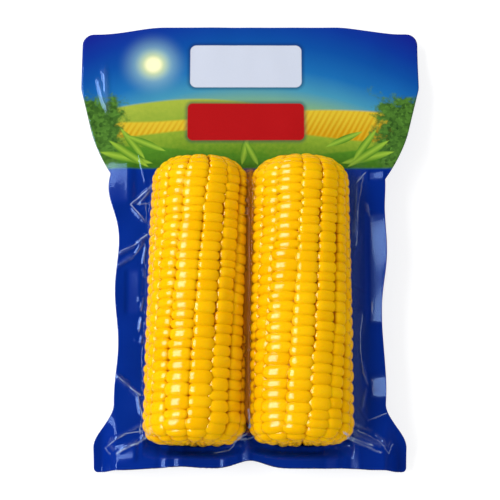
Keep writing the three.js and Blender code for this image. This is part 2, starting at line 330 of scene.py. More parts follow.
forms = {cob["node"]: kernel_points(cob) for cob in COBS}
for node, (points, *_) in forms.items():
    print(node, "has kernels up to", points[..., 2].max().round(1), "mm")


# %% Kernel meshes
def new_object(name, mesh):
    made = bpy.data.objects.new(name, mesh)
    bpy.context.scene.collection.objects.link(made)
    return made


def mesh_from(bm, name):
    mesh = bpy.data.meshes.new(name)
    bm.to_mesh(mesh)
    bm.free()
    return mesh


def add_attribute(mesh, name, values):
    mesh.attributes.new(name, "FLOAT", "POINT").data.foreach_set("value", values.ravel())


def kernel_mesh(name, points, blank_height, tone):
    count = len(BLANK_POINTS)
    faces = [[corner + count * k for corner in face]
             for k in range(len(tone)) for face in BLANK_FACES]
    mesh = bpy.data.meshes.new(name)
    mesh.from_pydata(points.reshape(-1, 3) * MM, [], faces)
    mesh.shade_smooth()
    add_attribute(mesh, "tone", np.repeat(tone, count))
    # The groove depth drives the painted shade in the corn's colour.
    add_attribute(mesh, "groove", np.clip(1 - blank_height, 0, 1))
    return mesh


kernels = {}
for node, form in forms.items():
    name = node + "_kernels"
    kernels[node] = new_object(name, kernel_mesh(name, *form))
    print(name, "has", len(kernels[node].data.polygons), "faces")

# %% [markdown]
# ## The pith inside
# Between the rows one looks down onto the cob's woody core, and at the two cut ends its pith
# shows. Its outline is drawn once as a chain of edges from end to end and spun round the axis.

# %% Core of each cob
CORE_DEPTH = 2.6  # below the kernels' crowns
CORE_STEPS, CORE_POINTS = 48, 44  # round the axis and along it
SAME_POINT = 1e-4


def core_mesh(cob):
    bm = bmesh.new()
    y, radius, out_y, out_r = meridian(cob, np.linspace(0, 1, CORE_POINTS))
    ys, radii = y - out_y * CORE_DEPTH, radius - out_r * CORE_DEPTH
    ends = ((0, ys[0]), *zip(radii, ys), (0, ys[-1]))
    chain = [bm.verts.new((0, along, around)) for around, along in ends]
    edges = [bm.edges.new(pair) for pair in zip(chain, chain[1:])]
    bmesh.ops.spin(bm, geom=chain + edges, cent=(0, 0, 0), axis=(0, 1, 0),
                   angle=2 * math.pi, steps=CORE_STEPS, use_merge=True)
    bmesh.ops.remove_doubles(bm, verts=bm.verts, dist=SAME_POINT)
    for vert in bm.verts:
        vert.co.x += float(axis_x(cob, vert.co.y))
        vert.co.z += float(axis_height(cob, vert.co.y))
    bmesh.ops.recalc_face_normals(bm, faces=bm.faces)
    bmesh.ops.scale(bm, vec=(MM, MM, MM), verts=bm.verts)
    mesh = mesh_from(bm, cob["node"] + "_core")
    mesh.shade_smooth()
    return mesh


cores = {cob["node"]: new_object(cob["node"] + "_core", core_mesh(cob)) for cob in COBS}
print("cores:", [piece.name for piece in cores.values()])

# %% [markdown]
# ## The films' form
# Both films share one outline: a wide header with rounded corners, a waist where the film is
# drawn in beside the cobs, and two corners that flare out at the foot. They also share the
# sealed margin, which hangs at the header and at the foot's corners. Over the cobs each film
# follows the round section, leaves it along a tangent and lands on the margin in a soft curve.

# %% Outline of the pack
HALF_WIDTH, HALF_LENGTH = cad_box[1][0] / MM, cad_box[1][1] / MM
HEADER_CORNER, FOOT_CORNER = 5.5, 2.2
TOP_CROWN, TOP_CROWN_X = 3.4, (0.5 * HALF_WIDTH, 0.9 * HALF_WIDTH)
SHOULDER_Y, SHOULDER_SLOPE = 78, 0.235
HOLLOW_Y, HOLLOW_RADIUS = 55, 52
WAIST, WAIST_WAVE = 62.9, 0.9
WAVES = {-1: (52, -23), 1: (77, 8)}  # by side: length and the y of a crest
BULGES = ((-1, 26, 14, 3.7), (1, 31, 12, 1.8), (1, -9, 16, 1.6))  # side, y, reach, how far out
FOOT_HALF_WIDTH, FOOT_FLARE = 73.7, (-97, -77)
FOOT_DRAW, FOOT_DRAW_X = 0.8, (0.5 * HALF_WIDTH, 0.75 * HALF_WIDTH)
NOTCHES = ((0.2, 3.6), (-32, 0.9))  # x and depth
NOTCH_HALF_WIDTH = 9


def edge_x(y, side):
    length, crest = WAVES[side]
    waver = WAIST_WAVE * np.cos(2 * math.pi * (y - crest) / length)
    for bulge_side, middle, reach, out in BULGES:
        if bulge_side == side:
            waver = waver + out * np.exp(-(((y - middle) / reach) ** 2))
    hollow = np.maximum(HOLLOW_Y - y, 0) ** 2 / (2 * HOLLOW_RADIUS)
    shoulder = HALF_WIDTH - SHOULDER_SLOPE * np.maximum(SHOULDER_Y - y, 0) - hollow
    flare = 1 - smooth(y, *FOOT_FLARE)
    drawn_in = WAIST + waver * (1 - flare)
    half = np.maximum(shoulder, drawn_in + (FOOT_HALF_WIDTH - drawn_in) * flare)
    corner = np.where(y > 0, HEADER_CORNER, FOOT_CORNER)
    into = np.clip((np.abs(y) - HALF_LENGTH + corner) / corner, 0, 1)
    return side * (half - corner * (1 - np.sqrt(1 - into**2)))


def bent_y(x, y):
    """The top edge is crowned and the bottom edge is notched, so rows near them bend."""
    crown_drop = TOP_CROWN * smooth(np.abs(x), *TOP_CROWN_X)
    draw = FOOT_DRAW * (1 - smooth(np.abs(x), *FOOT_DRAW_X))
    for notch_x, depth in NOTCHES:
        draw = draw + depth * np.exp(-(((x - notch_x) / NOTCH_HALF_WIDTH) ** 2))
    near_bottom = 1 - smooth(y, -HALF_LENGTH, COB_BUTT)
    return y - smooth(y, COB_TIP, HALF_LENGTH) * crown_drop + near_bottom * draw


print("waist to header:", 2 * WAIST, "to", round(2 * HALF_WIDTH, 1), "mm")

# %% Height of the margin and of each film
SEAM_Z, SIDE_CURL, HEADER_DROOP, CORNER_DROOP = 18, 1, 10.5, 13
CORNER_FOLD = (62, 70)  # the foot's corners fold down between these x
BUTT_DIP = 9  # how much lower the margin is in front of each butt
BUTT_DIP_Y, BUTT_DIP_RUN = COB_BUTT + 1, (1.5, 9)
RIPPLE, RIPPLE_LENGTH = 0.7, 38
LIFT_OFF = math.radians(20)  # slope off upright at which film leaves a cob
TIGHT_LIFT_OFF = math.radians(5)  # on a cob's left, where it is drawn in closer
LIFT_WAVES = ((4, 6.1, 2), (2, 3.3, 1))  # degrees, run of one radian, shift by side
TIGHT_WAVES = 0.5  # share of the waves on a cob's left
FILLET = 2
VALLEY_RISE = 8
NO_COB = -1000  # lower than any film


def flange_z(x, y):
    cob_edge = max(abs(cob["x"]) + cob["radius"] for cob in COBS)
    outwards = smooth(np.abs(x), cob_edge, HALF_WIDTH)
    header = smooth(y, COB_TIP, HALF_LENGTH)
    corner = smooth(np.abs(x), *CORNER_FOLD) * (1 - smooth(y, -HALF_LENGTH, FOOT_FLARE[1]))
    sides = SIDE_CURL * outwards * (1 - header) * (1 - corner)
    ripple = RIPPLE * outwards * np.sin(2 * math.pi * y / RIPPLE_LENGTH + np.sign(x))
    before_butt = sum(
        np.maximum(1 - ((x - axis_x(cob, y)) / cob["radius"]) ** 2, 0) for cob in COBS)
    dip = BUTT_DIP * before_butt * (1 - smooth(np.abs(y - BUTT_DIP_Y), *BUTT_DIP_RUN))
    return SEAM_Z - HEADER_DROOP * header + sides - CORNER_DROOP * corner + ripple - dip


def lift_off(dx, y):
    """The slope varies along the cob by a few degrees, in waves of two to four centimetres."""
    side = np.sign(dx)
    waves = sum(swing * np.sin(y / run + shift * side) for swing, run, shift in LIFT_WAVES)
    tight = TIGHT_LIFT_OFF + np.radians(TIGHT_WAVES * waves)
    return np.where(side < 0, tight, LIFT_OFF + np.radians(waves))


def stand_off(dx, y, radius):
    """Height of the film over a cob's axis."""
    away = np.abs(dx)
    slope = lift_off(dx, y)
    on_cob = np.sqrt(np.maximum(radius**2 - away**2, 0))
    tangent = radius / np.sin(slope) - away / np.tan(slope)
    stand = np.where(away <= radius * np.cos(slope), on_cob, tangent)
    return np.where(radius > 0, stand, NO_COB)


def soft_max(a, b):
    return np.maximum(a, b) + np.maximum(FILLET - np.abs(a - b), 0) ** 2 / (4 * FILLET)


def film_z(x, y, sense):
    """Height of the front film, or of the backing film where sense is -1."""
    stand = sense * flange_z(x, y)
    for cob in COBS:
        over = stand_off(x - axis_x(cob, y), y, section_radius(cob, y))
        stand = soft_max(stand, sense * axis_height(cob, y) + over)
    if sense > 0:
        along = smooth(from_end(y), 0, TIP_ROUNDING)
        low = flange_z(x, y) - FILLET
        span = axis_height(LEFT, y) + VALLEY_RISE
        stand = soft_max(stand, low + (span - low) * along - np.abs(x - valley_x(y)))
    return sense * stand


print("margin beside the cobs at", SEAM_Z, "mm, front film over the left cob at",
      film_z(LEFT["x"], COB_MIDDLE, 1).round(1), "mm")

# %% [markdown]
# ## A film grid
# A film is a fine grid whose columns run along the pack. They lie close together round the cobs
# and down the steep skirts, so that the film bends smoothly there. The operator makes the grid
# and its points are then moved to their places in one array.

# %% Rows and columns
ARC, SKIRT, MARGIN, VALLEY = 44, 15, 31, 7  # columns in each stretch
FOOT_CORNER_ROWS, BODY_ROWS, HEADER_ROWS, HEADER_CORNER_ROWS = 5, 204, 42, 7
SKIRT_RUN = 6.5
BODY_END = COB_TIP + 6


def corner_rows(radius, count):
    return radius * (1 - np.cos(np.linspace(0, math.pi / 2, count)))


def film_rows():
    foot = corner_rows(FOOT_CORNER, FOOT_CORNER_ROWS)
    body = np.linspace(-HALF_LENGTH + FOOT_CORNER, BODY_END, BODY_ROWS)
    header = np.linspace(BODY_END, HALF_LENGTH - HEADER_CORNER, HEADER_ROWS)
    corner = corner_rows(HEADER_CORNER, HEADER_CORNER_ROWS)[::-1]
    return np.concatenate([-HALF_LENGTH + foot[:-1], body, header[1:-1], HALF_LENGTH - corner])


def spread(start, stop, count):
    return start[:, None] + (stop - start)[:, None] * np.linspace(0, 1, count, endpoint=False)


def film_columns(rows):
    angles = np.linspace(LIFT_OFF, math.pi - LIFT_OFF, ARC)
    arcs = [axis_x(cob, rows)[:, None] - body_radius(cob, rows)[:, None] * np.cos(angles)
            for cob in COBS]
    left_foot, right_foot = arcs[0][:, 0] - SKIRT_RUN, arcs[1][:, -1] + SKIRT_RUN
    return np.hstack([
        spread(edge_x(rows, -1), left_foot, MARGIN),
        spread(left_foot, arcs[0][:, 0], SKIRT),
        arcs[0][:, :-1],
        spread(arcs[0][:, -1], arcs[1][:, 0], VALLEY),
        arcs[1][:, :-1],
        spread(arcs[1][:, -1], right_foot, SKIRT),
        spread(right_foot, edge_x(rows, 1), MARGIN),
        edge_x(rows, 1)[:, None],
    ])


ROWS = film_rows()
GRID_X = film_columns(ROWS)
GRID_Y = np.repeat(ROWS[:, None], GRID_X.shape[1], axis=1)
print("film grid:", GRID_X.shape[1], "columns by", GRID_X.shape[0], "rows")

# %% [markdown]
# ## Creases
# Drawn film can't lie flat: it puckers in creases that fan out from the cobs' corners and run
# along their sides. A crease is a short ridge with a sharp crest and flat sides, which die away
# at both ends. Its sides have the slope at which they mirror the lamp. The creases that the eye
# is drawn to are placed one by one, and small ones are scattered by a seeded rule. Between them
# some patches of film are tilted a little, and the lamp gives those a soft sheen. Both films carry
# the same folds, because they are sealed together.

# %% Creases and tilted facets of the margin
# Each crease: start x, y and end x, y in millimetres, then its half width
CREASES = [
    (-46, 27.5, -57, 17, 1.4), (-57, 17.5, -49, 8.5, 1.4), (-47.5, 25, -53, 18, 1.1),
    (-53, 18.7, -48.5, 18, 1.1), (-47.5, 4.5, -54.5, -2, 1.5), (-53, -1, -64, -7, 1.5),
    (-50, 1.5, -55, -7, 1.2), (-54, -6, -64, -12.5, 1.6), (-49, -1, -51, -12, 1.1),
    (-50.6, -12, -50, -18, 0.9), (-50.3, -27, -51.5, -33, 1.1), (-51.2, -36, -52.3, -43, 1.1),
    (-50.7, -44, -51.3, -49.5, 1.1), (-63.5, -63, -55.7, -69.7, 2.2), (-57, -68.5, -51, -74, 1.6),
    (-52.6, -73, -50.8, -83, 1.2), (-49.5, -86.5, -58, -91, 1.4), (-56, -90, -66, -94.8, 1.4),
    (-64, -92, -66.6, -96.2, 1.2), (-66.6, -95.5, -62.5, -99.2, 1.2), (-44, -90, -52, -94.4, 2.0),
    (-50.5, -93.6, -63, -99.8, 1.9), (51.2, 32, 49.8, -2, 1.2), (53.5, 33, 51, 28, 1.1),
    (55.2, 19.5, 56.6, 12.6, 1.1), (52.6, -57, 54.8, -68.5, 1.2), (54.8, -68, 52.3, -81, 1.2),
    (45.5, -89.8, 65, -98, 1.8), (46.5, -86.5, 58.3, -90.3, 1.2), (57.5, -90, 64.6, -97.2, 1.2),
    (63.7, -98, 66.4, -93.6, 1.1), (63.9, -98, 61.8, -92.6, 1.1), (-71, 94, -68, 60, 2.2),
    (-74, 87, -70, 66, 1.6),
]
CREASE_SLOPE = 0.5
# Each facet: middle x and y, half width and half length, softness of its bounds, its slope
FACETS = [
    (60.5, 32, 3.6, 2.0, 0.8, 0.25), (61, -12.5, 4.2, 25.5, 2.5, 0.25),
    (60.5, -69, 3.5, 3, 5, 0.25), (-63.5, 29, 5, 8, 5, 0.235), (-58.5, -100, 4, 2.5, 3, 0.25),
    (-40.2, -103, 2.1, 7, 1.5, 0.26), (-34.3, -103, 2.5, 7, 1.5, 0.24),
    (-13, -104, 1.8, 6, 2, 0.23), (-2.3, -103, 1.6, 6, 2, 0.23), (37.8, -103, 3.0, 6, 2, 0.24),
    (48.9, -103, 1.9, 6, 2, 0.22), (-55, -24, 2, 9, 3, 0.17),
]
SCATTERED, SCATTER_SEED = 12, 5
SCATTER_Y, SCATTER_X, SCATTER_RUN = (-88, 34), (47, 51), (3, 9)  # to either side
SCATTER_SLANT, SCATTER_HALF_WIDTH = 8, (0.6, 1.0)


def scattered_creases():
    """Small creases beside the cobs, aslant to them."""
    rng = np.random.default_rng(SCATTER_SEED)
    creases = []
    for k in range(SCATTERED):
        side = -1 if k % 2 else 1
        y = rng.uniform(*SCATTER_Y)
        start = side * rng.uniform(*SCATTER_X)
        end = start + side * rng.uniform(*SCATTER_RUN)
        slant, half_width = rng.normal(0, SCATTER_SLANT), rng.uniform(*SCATTER_HALF_WIDTH)
        creases.append((start, y, end, y + slant, half_width))
    return creases


print(len(CREASES), "creases placed,", SCATTERED, "scattered,", len(FACETS), "facets")

# %% Height and whiteness of the folds, partly painted highlights
from mathutils import Vector, noise

CRINKLE, CRINKLE_X, CRINKLE_Y, CRINKLE_SLICE = 0.5, 13, 19, 3  # the slice is of 3-D noise
# The valley fold's white line is a painted highlight along the film between the cobs.
VALLEY_FOLD = (-0.5, 46, -1.1, -98, 0.7)  # of the film between the cobs, written like a crease
HAZE, HAZE_RISE, HAZE_FALL = 0.2, (46, 50), (51, 58)  # x at which it comes and goes
HAZE_BUTT, HAZE_TIP = (COB_BUTT - 4, COB_BUTT + 4), (COB_TIP - 4, COB_TIP + 2)


def fold(x, y, start_x, start_y, end_x, end_y, half_width):
    """1 along a line, falling evenly to 0 at its half width and softly at its ends."""
    run = np.array([end_x - start_x, end_y - start_y], float)
    length = np.hypot(*run)
    along = ((x - start_x) * run[0] + (y - start_y) * run[1]) / length**2
    off = np.abs((x - start_x) * run[1] - (y - start_y) * run[0]) / length
    return smooth(1 - np.abs(2 * along - 1), 0, 0.5) * np.clip(1 - off / half_width, 0, 1)


def crinkle(x, y):
    """Soft unevenness of the margin, some tenths of a millimetre high and 1 to 2 cm across."""
    places = zip(x.ravel() / CRINKLE_X, y.ravel() / CRINKLE_Y)
    flat = np.array([noise.noise(Vector((*place, CRINKLE_SLICE))) for place in places])
    return CRINKLE * flat.reshape(x.shape)


def facet(x, y, middle_x, middle_y, half_width, half_length, soft, slope):
    """A patch of film tilted to one side, level again beyond its bounds."""
    off_x, off_y = np.abs(x - middle_x) - half_width, np.abs(y - middle_y) - half_length
    return slope * (x - middle_x) * (1 - smooth(off_x, 0, soft)) * (1 - smooth(off_y, 0, soft))


def puckers(x, y):
    total = crinkle(x, y)
    for crease in CREASES + scattered_creases():
        total = total + CREASE_SLOPE * crease[-1] * fold(x, y, *crease)
    for patch in FACETS:
        total = total + facet(x, y, *patch)
    return total


def whitening_and_glint(x, y):
    """Sharply folded film turns a little milky along its crest. The white is also a painted glint.
    """
    return np.max([fold(x, y, *line) ** 2 for line in (*CREASES, VALLEY_FOLD)], axis=0)


def haze_and_reflection(x, y):
    """Film free of the backing right of the cobs is a little hazy, partly a painted reflection."""
    beside = smooth(x, *HAZE_RISE) * (1 - smooth(x, *HAZE_FALL))
    return HAZE * beside * smooth(y, *HAZE_BUTT) * (1 - smooth(y, *HAZE_TIP))


PUCKER, FOLD_WHITE_AND_GLINT = puckers(GRID_X, GRID_Y), whitening_and_glint(GRID_X, GRID_Y)
print("puckers from", PUCKER.min().round(2), "to", PUCKER.max().round(2), "mm")

# %% [markdown]
# ## Shrinking film onto the kernels
# Over the cobs the film is not smooth: it is pulled onto every crown and sags a little between
# them. Rays cast inwards from the film find the kernels, as the Shrinkwrap modifier would, but
# the film may not sink to the bottom of the grooves, so the depths are blurred and limited. The
# bottom edge was cut with a toothed blade, so its last row of points steps in and out.


# %% Blurs and masks on the grid
def neighbours(grid):
    padded = np.pad(grid, 1, mode="edge")
    return padded[:-2, 1:-1], padded[2:, 1:-1], padded[1:-1, :-2], padded[1:-1, 2:]


def blur(values, times):
    """Evens out numbers, or makes a mask's bounds soft."""
    for _ in range(times):
        values = (values * 4 + sum(neighbours(values))) / 8
    return values


def spread_out(mask, times):
    """Grows a mask by its neighbours."""
    for _ in range(times):
        mask = np.logical_or.reduce([mask, *neighbours(mask)])
    return mask


def close_holes(mask, times):
    """Grows a mask and shrinks it again, which closes small holes and keeps its bounds."""
    return ~spread_out(~spread_out(mask, times), times)


print("a lone point blurred once keeps", blur(np.pad([[1.0]], 1), 1)[1, 1])

# %% Film on the kernels
from mathutils.bvhtree import BVHTree

CLING = 0.1  # film over the kernels' crowns
WALL_SLACK = 0.6  # the backing film stands off this much more on steep walls
DEEPEST_SAG = 1.3
REACH = 3.0  # of the rays, to either side
FREE_SHEEN, CROWN_SHEEN, VALLEY_SHEEN = 0.05, 0.007, 0.03  # share of light that the film mirrors
CROWN_SAG = (-0.8, -0.2)  # from groove to crown
VALLEY_SIDE, VALLEY_END = (8, 10), (3, 7)
VALLEY_SHADE_SIDE = (3, 4.5)


def in_valley(x, y):
    """1 in the groove between the cobs, where the film is as good as wet on both."""
    return (1 - smooth(np.abs(x - valley_x(y)), *VALLEY_SIDE)) * smooth(from_end(y), *VALLEY_END)


def outward_normals(mesh, sense):
    normals = np.array([vert.normal[:] for vert in mesh.vertices]) * sense
    return normals.reshape(*GRID_X.shape, 3)


def kernel_depths(mesh, sense):
    """How far outside the film the kernels reach at each point, found by rays along its normal."""
    trees = [BVHTree.FromPolygons([vert.co for vert in piece.data.vertices],
                                  [face.vertices for face in piece.data.polygons])
             for piece in kernels.values()]
    depths = np.full(len(mesh.vertices), -2 * REACH)
    for vert in mesh.vertices:
        outwards = vert.normal * sense
        for corn in trees:
            hit = corn.ray_cast(vert.co + outwards * REACH * MM, -outwards, 2 * REACH * MM)
            if hit[0] is not None:
                depths[vert.index] = max(depths[vert.index], REACH - hit[3] / MM)
    return depths.reshape(GRID_X.shape)


def cling_to_kernels(mesh, sense):
    """How far each point moves out along its normal onto the kernels, its sheen and its painted
    shade.
    """
    raw = kernel_depths(mesh, sense)
    touching = blur(raw > -DEEPEST_SAG, 1)
    over_cob = close_holes(raw > -REACH, 3)
    contact = blur(over_cob, 2)
    around = blur(spread_out(over_cob, 1), 1)
    raw = np.where(over_cob, np.maximum(raw, -DEEPEST_SAG), 0)
    sag = np.maximum(blur(raw, 2), raw) + CLING
    if sense < 0:
        sag = sag + WALL_SLACK * (1 - np.abs(outward_normals(mesh, sense)[..., 2]))
        contact = around
    valley = in_valley(GRID_X, GRID_Y)
    on_crown = CROWN_SHEEN * contact * smooth(raw, *CROWN_SAG)
    free = FREE_SHEEN * (1 - around) * (1 - valley) + VALLEY_SHEEN * (1 - touching) * valley
    # Painted shade in the groove between the cobs, in a narrow strip along its middle.
    middle = 1 - smooth(np.abs(GRID_X - valley_x(GRID_Y)), *VALLEY_SHADE_SIDE)
    return sag * contact, on_crown + free, valley * (1 - touching) * middle


print("rays cast for each film:", GRID_X.size * len(kernels))

# %% Front and backing film meshes
FILM_THICKNESS = 0.12
TOOTH = 0.45
MARGIN_FADE = 7  # puckers die away over this height
NEAR_COB = (6, 11)  # film this far from a cob no longer mirrors it
SHADE_LOSS, SHADE_SLOPE = 0.85, (0.03, 0.15)  # film that leans to a cob mirrors little but shade
FOLD_GLINT = 1.4  # a sharp fold glints this much more


def grid_mesh(name, heights):
    rows, columns = GRID_X.shape
    bm = bmesh.new()
    bmesh.ops.create_grid(bm, x_segments=columns - 1, y_segments=rows - 1, size=0.5)
    mesh = mesh_from(bm, name)
    points = np.dstack([GRID_X, bent_y(GRID_X, GRID_Y), heights])
    points[0, 1::2, 1] += TOOTH
    mesh.vertices.foreach_set("co", (points * MM).ravel())
    mesh.update()
    mesh.shade_smooth()
    return mesh


def towards_corn(mesh, sense):
    """Slope by which each point of a film near a cob leans towards it."""
    normals = outward_normals(mesh, sense)
    left_edge, right_edge = (cob["x"] + np.sign(cob["x"]) * cob["radius"] for cob in COBS)
    way_x = np.clip(GRID_X, left_edge, right_edge) - GRID_X
    way_y = np.clip(GRID_Y, COB_BUTT, COB_TIP) - GRID_Y
    away = np.maximum(np.hypot(way_x, way_y), 1e-6)
    slope = (normals[..., 0] * way_x + normals[..., 1] * way_y) / away
    return slope * (1 - smooth(away, *NEAR_COB))


def film_mesh(name, sense):
    heights = film_z(GRID_X, GRID_Y, sense)
    on_margin = np.exp(-np.abs(heights - flange_z(GRID_X, GRID_Y)) / MARGIN_FADE)
    mesh = grid_mesh(name, heights + PUCKER * on_margin + sense * CLING / 2)
    move, sheen, painted_valley_shade = cling_to_kernels(mesh, sense)
    places = np.array([vert.co[:] for vert in mesh.vertices])
    places += outward_normals(mesh, sense).reshape(-1, 3) * move.reshape(-1, 1) * MM
    if sense < 0:
        places[:, 2] = np.maximum(places[:, 2], FILM_THICKNESS * MM)
    mesh.vertices.foreach_set("co", places.ravel())
    mesh.update()
    dull = 1 - SHADE_LOSS * smooth(towards_corn(mesh, sense), *SHADE_SLOPE)
    add_attribute(mesh, "sheen", sheen * dull * (1 + FOLD_GLINT * FOLD_WHITE_AND_GLINT))
    add_attribute(mesh, "painted_valley_shade", painted_valley_shade)
    add_attribute(mesh, "milky", FOLD_WHITE_AND_GLINT + haze_and_reflection(GRID_X, GRID_Y))
    return mesh


def thicken(piece, outer_slot):
    wall = piece.modifiers.new("film thickness", "SOLIDIFY")
    wall.thickness = FILM_THICKNESS * MM
    wall.offset = -1
    wall.material_offset = wall.material_offset_rim = outer_slot


front_film = new_object("clear_front_film", film_mesh("clear_front_film", 1))
back_film = new_object("blue_backing_film", film_mesh("blue_backing_film", -1))
thicken(front_film, 0)
thicken(back_film, 1)
print("film faces:", len(front_film.data.polygons), "and", len(back_film.data.polygons))

# %% [markdown]
# ## Colours and nodes
# Colours are picked as sRGB hex values, as on screen, and shaders want linear light, so one
# function turns one into the other. Another adds a node to tree, the nodes of the material in
# hand, and the rest are short forms of it.


# %% Helpers for materials
def colour(hex_value):
    channels = [int(hex_value[k : k + 2], 16) / 255 for k in (1, 3, 5)]
    linear = [c / 12.92 if c <= 0.04045 else ((c + 0.055) / 1.055) ** 2.4 for c in channels]
    return (*linear, 1)


def add(kind, settings=None, inputs=None):
    """Adds a node, sets its properties, links or sets its inputs, and gives its outputs."""
    made = tree.nodes.new("ShaderNode" + kind)
    for name, value in (settings or {}).items():
        setattr(made, name, value)
    for socket, source in (inputs or {}).items():
        if isinstance(source, bpy.types.NodeSocket):
            tree.links.new(source, made.inputs[socket])
        else:
            value = colour(source) if isinstance(source, str) else source
            made.inputs[socket].default_value = value
    return made.outputs


def maths(operation, *values, clamp=False):
    settings = {"operation": operation, "use_clamp": clamp}
    return add("Math", settings, dict(enumerate(values)))[0]


def vectors(operation, *values):
    """The first output is a vector, the second a number."""
    return add("VectorMath", {"operation": operation}, dict(enumerate(values)))


def ramp(value, low=0.0, high=1.0, start=0.0, end=1.0, kind="LINEAR"):
    """Carries a value from the range low to high over to the range start to end."""
    ranges = {0: value, 1: low, 2: high, 3: start, 4: end}
    return add("MapRange", {"interpolation_type": kind}, ranges)[0]


def soft_ramp(value, low, high, end=1.0):
    return ramp(value, low, high, end=end, kind="SMOOTHSTEP")


def blend(share, first, second):
    return add("Mix", {"data_type": "RGBA"}, {0: share, 6: first, 7: second})[2]


def clouds(place, size, detail, roughness=0.5):
    """Noise with features of about that size."""
    return add("TexNoise", inputs={
        "Vector": place, "Scale": 1 / size, "Detail": detail, "Roughness": roughness})


def attribute(name):
    return add("Attribute", {"attribute_name": name})["Fac"]


def new_material(name, *pieces):
    """Gives pieces a new material, and returns its empty node tree."""
    material = bpy.data.materials.new(name)
    material.use_nodes = True
    material.node_tree.nodes.clear()
    for piece in pieces:
        piece.data.materials.append(material)
    return material.node_tree


def tell(what):
    print(what + ":", len(tree.nodes), "nodes so far")


def coat(inputs):
    """Ends a material with a Principled surface."""
    surface = add("BsdfPrincipled", inputs=inputs)[0]
    add("OutputMaterial", inputs={"Surface": surface})


print("corn yellow in linear light:", [round(c, 3) for c in colour("#F8BA0A")])

# %% [markdown]
# ## Corn
# A cooked kernel has a thin glossy skin over flesh that lets some light through. That gives a
# clear yellow with small differences from kernel to kernel. Towards the groove it turns a deeper
# orange: partly the kernel's own tone, partly painted shade where the grooves lie in shadow.

# %% Cooked corn kernel
TONE_RANGE = 2.2
GROOVE_SHADE_START, GROOVE_SHADE_FOOT = 0.4, 1.0
tree = new_material("cooked corn kernel", *kernels.values())
tone_share = ramp(attribute("tone"), -TONE_RANGE, TONE_RANGE)
crown = blend(tone_share, "#E8AC00", "#EEB806")
# Painted shade: deep in the grooves the colour turns a darker orange, beside the kernel's own
# deeper tone there.
groove_shade = soft_ramp(attribute("groove"), GROOVE_SHADE_START, GROOVE_SHADE_FOOT)
coat({
    "Base Color": blend(groove_shade, crown, "#C87200"),
    "Roughness": 0.1, "IOR": 1.55, "Specular IOR Level": 0.44,
    "Subsurface Weight": 0.3, "Subsurface Radius": (1.0, 0.45, 0.08), "Subsurface Scale": 0.001,
})
tell("corn kernels")

# %% Cob pith
FIBRE = 1.5 * MM
tree = new_material("cob core in painted shade", *cores.values())
fibres = clouds(add("TexCoord")["Object"], FIBRE, detail=3.0)[0]
# Painted shade: the core is dark brown, so the deep gaps between kernels where it shows read as
# shaded holes. The noise gives its grain.
coat({"Base Color": blend(fibres, "#7A3C04", "#B87420"), "Roughness": 0.7})
tell("pith")

# %% [markdown]
# ## Clear film
# Packing film is a thin clear laminate. Light goes straight through it, apart from the part that
# its glossy face mirrors, which grows at grazing angles. A Transparent and a Glossy shader mixed
# by the facing angle give that without the noise of true refraction. Where the film is wet
# against the kernels it mirrors less, because one of its two faces has no air behind it. In the
# groove between the cobs an amber sheet is painted shade, for the cobs' shaded flanks and their
# reflection. Pale lines along sharp folds are partly the film's whitening, partly painted glints.

# %% White lines of sharp folds, partly painted highlights
# Each line: start x, y and end x, y in millimetres, its half width, and how white it is
FOLD_LINES = [
    (-47, 27, -56.6, 18, 0.45, 0.6), (-56.6, 18, -50, 10, 0.45, 0.55),
    (-48, 24.3, -53.7, 18.2, 0.3, 0.45), (-53.7, 18.2, -48.3, 18.6, 0.3, 0.4),
    (-49.6, 19, -49.2, 9, 0.35, 0.3), (-49, 3.6, -54.5, -1.2, 0.5, 0.6),
    (-54.5, -1.2, -63, -5.5, 0.35, 0.35), (-50.3, -1, -56.5, -9, 0.4, 0.3),
    (-49.8, -1, -50.2, -11, 0.4, 0.4), (-50.3, -27, -51.5, -33, 0.4, 0.35),
    (-51.2, -36, -52.3, -43, 0.4, 0.45), (-63.5, -63, -55.7, -69.7, 0.45, 0.4),
    (-57, -68.5, -51.5, -73, 0.45, 0.5), (-52.6, -73, -50.8, -83, 0.4, 0.4),
    (-46, -92, -62, -100.3, 0.8, 0.55), (-50, -89.7, -58, -91.2, 0.4, 0.4),
    (-58, -91.2, -68, -97, 0.5, 0.4), (-68, -97, -65.5, -100, 0.5, 0.4),
    (-51.8, -88, -51.2, -91, 0.5, 0.45), (-1.5, -91.5, -5.5, -94, 0.5, 0.5),
    (-5.5, -94, -10, -98.5, 0.4, 0.4), (-10, -98.5, -17, -100, 0.4, 0.3),
    (-4.5, -93.8, 1.5, -93, 0.5, 0.35), (-0.8, -81, -0.2, -89, 0.7, 0.6),
    (47.5, -93, 57, -96.5, 0.8, 0.45), (43, -92, 61, -99.8, 0.8, 0.45),
    (50.5, -89.5, 60, -94.3, 0.4, 0.4), (60, -94.3, 65, -100, 0.4, 0.4),
    (65, -100, 66.8, -95.5, 0.4, 0.35), (55, -84.5, 63.5, -81.5, 0.5, 0.35),
    (55, 33.5, 51, 28.5, 0.4, 0.55), (54, 31, 52.4, 23, 0.45, 0.4),
    (52.4, 23, 51.2, 13, 0.45, 0.4), (51.2, 13, 50.3, -3, 0.4, 0.35),
    (56, 17.5, 57.2, 12.8, 0.35, 0.4), (57.6, -28.5, 58, -33, 0.4, 0.4),
    (52.8, -35, 51.8, -47, 0.35, 0.35), (51.8, -47, 53, -62, 0.3, 0.3),
    (53, -62, 55.5, -68, 0.35, 0.35),
]


def line_mask(place, start_x, start_y, end_x, end_y, half_width, whiteness):
    """The whiteness of a straight line, falling softly to 0 at its half width."""
    run = Vector((end_x - start_x, end_y - start_y, 0)) * MM
    start = Vector((start_x, start_y, 0)) * MM
    offset = vectors("SUBTRACT", place, start)[0]
    share = vectors("DOT_PRODUCT", offset, run / run.length_squared)[1]
    within = ramp(share)
    nearest = add("VectorMath", {"operation": "SCALE"}, {0: run, 3: within})[0]
    away = vectors("DISTANCE", offset, nearest)[1]
    return soft_ramp(away, half_width * MM, 0.0, end=whiteness)


print("fold lines:", len(FOLD_LINES))

